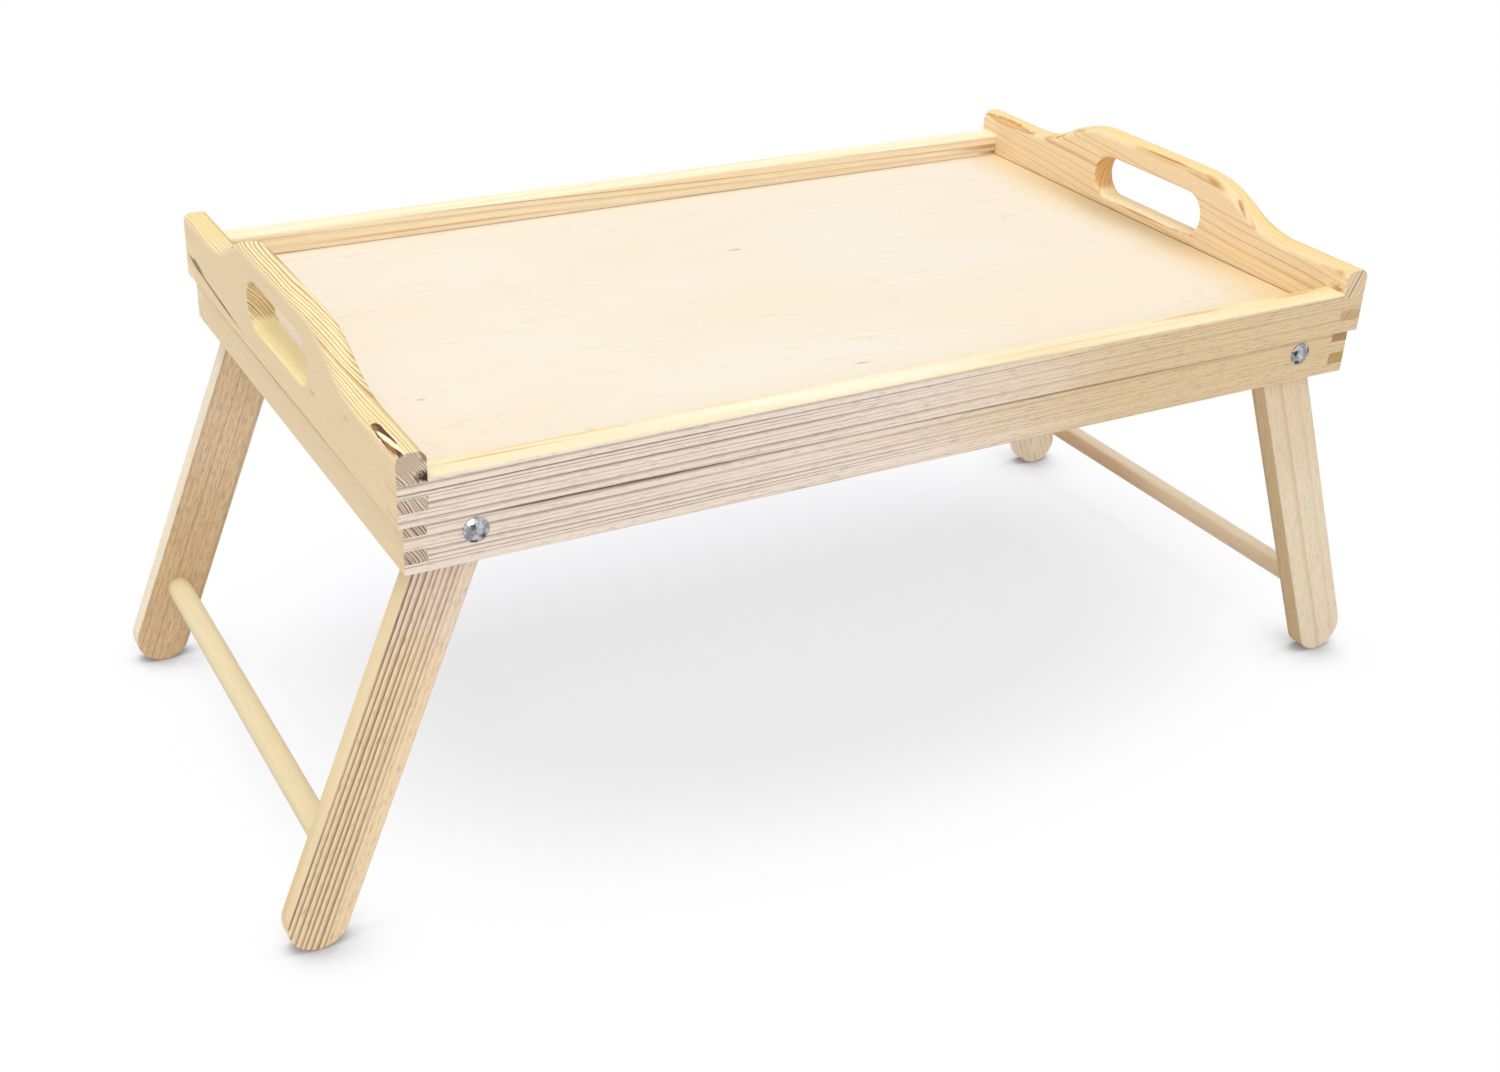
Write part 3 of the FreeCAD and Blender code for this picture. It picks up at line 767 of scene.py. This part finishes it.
# Pivot bolt: domed head, square neck, plain shank and a rolled thread at the tail
pivotBolt = {
    "headRadius": 0.0055, "headRim": 0.0005, "headHeight": 0.0026, "domeSteps": 7,
    "underHead": -0.1472, "neckSide": 0.0055, "neckLength": 0.0034, "neckRounding": 0.0005,
    "shankRadius": 0.00248, "shankEdge": 0.0003, "coreRadius": 0.0021,
    "tail": -0.1158, "tipRounding": 0.0004,
    "threadLength": 0.0096, "pitch": 0.0008, "ridge": 0.00038, "turnSteps": 28,
    "smoothAngle": 35,
}


def makeHead(bolt):
    rimY = bolt["underHead"] - bolt["headRim"]
    head = addRound(bolt["headRadius"], bolt["underHead"], rimY)
    dome = bolt["headHeight"] - bolt["headRim"]
    ballRadius = (bolt["headRadius"] ** 2 + dome ** 2) / (2 * dome)
    widest = math.asin(bolt["headRadius"] / ballRadius)
    pickCap(head, rimY)
    angle, reached = widest, rimY
    for step in range(1, bolt["domeSteps"] + 1):
        lower = widest * (1 - step / (bolt["domeSteps"] + 0.4))    # leaves a small flat top
        level = rimY - ballRadius * (math.cos(lower) - math.cos(widest))
        rise = {"value": (0, level - reached, 0)}
        bpy.ops.mesh.extrude_region_move(TRANSFORM_OT_translate=rise)
        size = math.sin(lower) / math.sin(angle)
        bpy.ops.transform.resize(value=(size, 1, size), center_override=(0, level, 0))
        angle, reached = lower, level
    bpy.ops.object.mode_set(mode="OBJECT")
    return head


def makeNeck(bolt):
    startPiece()
    bpy.ops.mesh.primitive_cube_add(
        size=1, location=(0, bolt["underHead"] + bolt["neckLength"] / 2, 0),
        scale=(bolt["neckSide"], bolt["neckLength"], bolt["neckSide"]))
    keepShape()
    neck = bpy.context.object
    applyModifier(neck, "BEVEL", width=bolt["neckRounding"], segments=2)
    return neck


def makeThread(bolt, start):
    # a three-cornered ridge wound round the core
    startPiece()
    bpy.ops.mesh.primitive_circle_add(
        vertices=3, radius=bolt["ridge"], location=(bolt["coreRadius"], start, 0),
        rotation=(0, 0, -math.pi / 2))
    ridge = bpy.context.object
    keepShape()
    turns = int((bolt["threadLength"] - bolt["ridge"]) / bolt["pitch"])
    applyModifier(ridge, "SCREW", axis="Y", angle=2 * math.pi, screw_offset=bolt["pitch"],
                  iterations=turns, steps=bolt["turnSteps"], render_steps=bolt["turnSteps"],
                  use_merge_vertices=False)
    bpy.ops.object.mode_set(mode="EDIT")
    bpy.ops.mesh.select_all(action="SELECT")
    bpy.ops.mesh.fill_holes(sides=3)
    bpy.ops.mesh.select_all(action="SELECT")
    bpy.ops.mesh.normals_make_consistent(inside=False)
    bpy.ops.object.mode_set(mode="OBJECT")
    return ridge


def makePivotBolt(bolt):
    head, neck = makeHead(bolt), makeNeck(bolt)
    threadStart = bolt["tail"] - bolt["threadLength"]
    shank = addRound(bolt["shankRadius"], bolt["underHead"] + overlap, threadStart)
    bevelRim(shank, threadStart, bolt["shankEdge"])
    core = addRound(bolt["coreRadius"], threadStart - overlap, bolt["tail"])
    bevelRim(core, bolt["tail"], bolt["tipRounding"])
    thread = makeThread(bolt, threadStart)
    whole = joinPieces([head, neck, shank, core, thread], "pivotBolt")
    bpy.ops.object.shade_smooth_by_angle(angle=math.radians(bolt["smoothAngle"]))
    return whole


# Lock nut: chamfered hexagon with a round collar, dished where the bolt comes through
lockNut = {
    "acrossFlats": 0.008, "fromY": -0.1222, "toY": -0.1188, "chamfer": 0.0007,
    "blankSpare": 0.00002,             # the round blank that gives the chamfer is this much wider
    "collarRadius": 0.0034, "collarEnd": -0.1174, "collarSink": 0.0004,
    "collarRounding": 0.0005, "bore": 0.00256, "dish": 0.0005, "dishRim": 0.00012,
    "smoothAngle": 30,
}


def makeLockNut(nut):
    cornerRadius = nut["acrossFlats"] / math.sqrt(3)
    hexagon = addRound(cornerRadius, nut["fromY"], nut["toY"], 6)
    bpy.ops.transform.rotate(value=math.pi / 6, orient_axis="Y", center_override=(0, 0, 0))
    keepShape()
    blank = addRound(cornerRadius + nut["blankSpare"], nut["fromY"], nut["toY"])
    for y in (nut["fromY"], nut["toY"]):
        bevelRim(blank, y, nut["chamfer"], 1)
    combine(hexagon, "INTERSECT", blank)

    collar = addRound(nut["collarRadius"], nut["toY"] - nut["collarSink"], nut["collarEnd"])
    bevelRim(collar, nut["collarEnd"], nut["collarRounding"])
    pickCap(collar, nut["collarEnd"])
    bpy.ops.mesh.inset(thickness=nut["dishRim"])
    bpy.ops.mesh.extrude_region_move(TRANSFORM_OT_translate={"value": (0, -nut["dish"], 0)})
    bpy.ops.object.mode_set(mode="OBJECT")
    combine(hexagon, "UNION", collar)

    drill = addRound(nut["bore"], nut["fromY"] - overlap, nut["collarEnd"] + overlap)
    combine(hexagon, "DIFFERENCE", drill)
    startPiece()
    hexagon.select_set(True)
    bpy.context.view_layer.objects.active = hexagon
    hexagon.name = "lockNut"
    bpy.ops.object.shade_smooth_by_angle(angle=math.radians(nut["smoothAngle"]))
    return hexagon


# Every pivot gets its own copy; the back ones are turned half round
def fitAtPivots(pattern, pieceName, nodeName):
    for end in ("left", "right"):
        pivotX, _, pivotZ = pivots[end + "_legs"]
        for row in ("front", "back"):
            startPiece()
            pattern.select_set(True)
            bpy.context.view_layer.objects.active = pattern
            bpy.ops.object.duplicate(linked=False)
            piece = bpy.context.object
            piece.name = end + row.capitalize() + pieceName
            piece.rotation_euler = (0, 0, 0 if row == "front" else math.pi)
            piece.location = (pivotX, 0, pivotZ)
            keepShape()
            piece.data.materials.clear()
            piece.data.materials.append(zincPlating)
            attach(piece, "tray")
            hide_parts(f"{end}_{row}_{nodeName}")
    bpy.data.objects.remove(pattern)


fitAtPivots(makePivotBolt(pivotBolt), "PivotBolt", "pivot_bolt")
fitAtPivots(makeLockNut(lockNut), "LockNut", "lock_nut")
print("fasteners made")


# Studio: white surroundings, a pale floor that keeps the shadow, and two large soft lamps
studio = {
    "skyStrength": 0.64,
    "floorSize": 14.0,
    "floorColour": (0.84, 0.84, 0.85, 1.0),
    "floorRoughness": 0.9,
    "shadowColour": (0.86, 0.89, 1.0, 1.0),
    # painted contact shadow: the floor's colour right beside a foot
    "contactShadowColour": (0.46, 0.46, 0.50, 1.0),
    "footReach": 0.036,            # how close to the floor a piece darkens it
    "footSamples": 8,
    "footShade": (0.40, 0.98, 0.1),    # openness from and to, and share of white left at least
    "floorGlow": (0.57, 0.985),    # share of plain white, under the tray and far out
    "shadowMiddle": (0.02, 0.03, 0),
    "shadowReach": (0.27, 0.175, 1),   # how far from there the shadow is kept, along x and y
    "shadowEdge": (0.65, 1.4),     # in reaches, where it begins to fade and where it has gone
    "lamps": (                     # name, place, size and power
        ("overheadLamp", (-0.8, 0.8, 4.6), 2.4, 82.0),
        ("frontLamp", (-1.2, -3.2, 2.2), 2.6, 37.0),
    ),
}


def seenDirectly(tree):
    path = addNode(tree, "LightPath").outputs
    seen = calculate(tree, "MAXIMUM", path["Is Camera Ray"], path["Is Glossy Ray"])
    return calculate(tree, "MAXIMUM", seen, path["Is Transmission Ray"])


def mixShaders(tree, factor, first, second):
    inputs = {0: factor, 1: first.outputs[0], 2: second.outputs[0]}
    return addNode(tree, "MixShader", None, inputs).outputs[0]


def addSky(strength):
    world = bpy.data.worlds.new("studioSky")
    bpy.context.scene.world = world
    world.use_nodes = True
    tree = world.node_tree
    tree.nodes.clear()
    sky = addNode(tree, "Background", None, {"Color": (1, 1, 1, 1), "Strength": strength})
    white = addNode(tree, "Background", None, {"Color": (1, 1, 1, 1), "Strength": 1.0})
    showSurface(tree, mixShaders(tree, seenDirectly(tree), sky, white), "OutputWorld")


def floorMaterial(settings):
    # the floor glows white when seen directly, less so in the shadow and beside a foot
    material, tree, shader = newMaterial("pale floor")
    seen = seenDirectly(tree)
    fromOpen, toOpen, whiteLeft = settings["footShade"]
    samples, reach = {"samples": settings["footSamples"]}, {"Distance": settings["footReach"]}
    openness = addNode(tree, "AmbientOcclusion", samples, reach).outputs["AO"]
    openness = rescale(tree, openness, fromOpen, toOpen)
    # painted contact shadow: a darker colour where a piece is near the floor
    shadow = blendColour(tree, openness, settings["contactShadowColour"], settings["shadowColour"])
    colour = blendColour(tree, seen, settings["floorColour"], shadow)
    tree.links.new(colour, shader.inputs["Base Color"])
    shader.inputs["Roughness"].default_value = settings["floorRoughness"]
    shader.inputs["Specular IOR Level"].default_value = 0.0

    place = addNode(tree, "TexCoord").outputs["Object"]
    outward = vectorMath(tree, "SUBTRACT", place, settings["shadowMiddle"])
    outward = vectorMath(tree, "DIVIDE", outward, settings["shadowReach"])
    outward = vectorMath(tree, "LENGTH", outward)
    share = rescale(tree, outward, *settings["shadowEdge"], *settings["floorGlow"])
    openShare = rescale(tree, openness, 0, 1, whiteLeft, 1.0, False)
    share = calculate(tree, "MULTIPLY", share, openShare)
    share = calculate(tree, "MULTIPLY", seen, share)
    glow = addNode(tree, "Emission", None, {"Color": (1, 1, 1, 1), "Strength": 1.0})
    showSurface(tree, mixShaders(tree, share, shader, glow))
    return material


def addFloor(settings):
    bpy.ops.mesh.primitive_plane_add(size=settings["floorSize"], location=(0, 0, 0))
    floor = bpy.context.object
    floor.name = "studioFloor"
    floor.data.materials.append(floorMaterial(settings))


def addLamp(name, place, size, power):
    lamp = bpy.data.lights.new(name, "AREA")
    lamp.shape = "SQUARE"
    lamp.size = size
    lamp.energy = power
    holder = bpy.data.objects.new(name, lamp)
    holder.location = place
    holder.rotation_euler = (-holder.location).to_track_quat("-Z", "Y").to_euler()
    bpy.context.collection.objects.link(holder)


bpy.context.scene.view_settings.view_transform = "Standard"
addSky(studio["skyStrength"])
addFloor(studio)
for lamp in studio["lamps"]:
    addLamp(*lamp)
print("studio set")
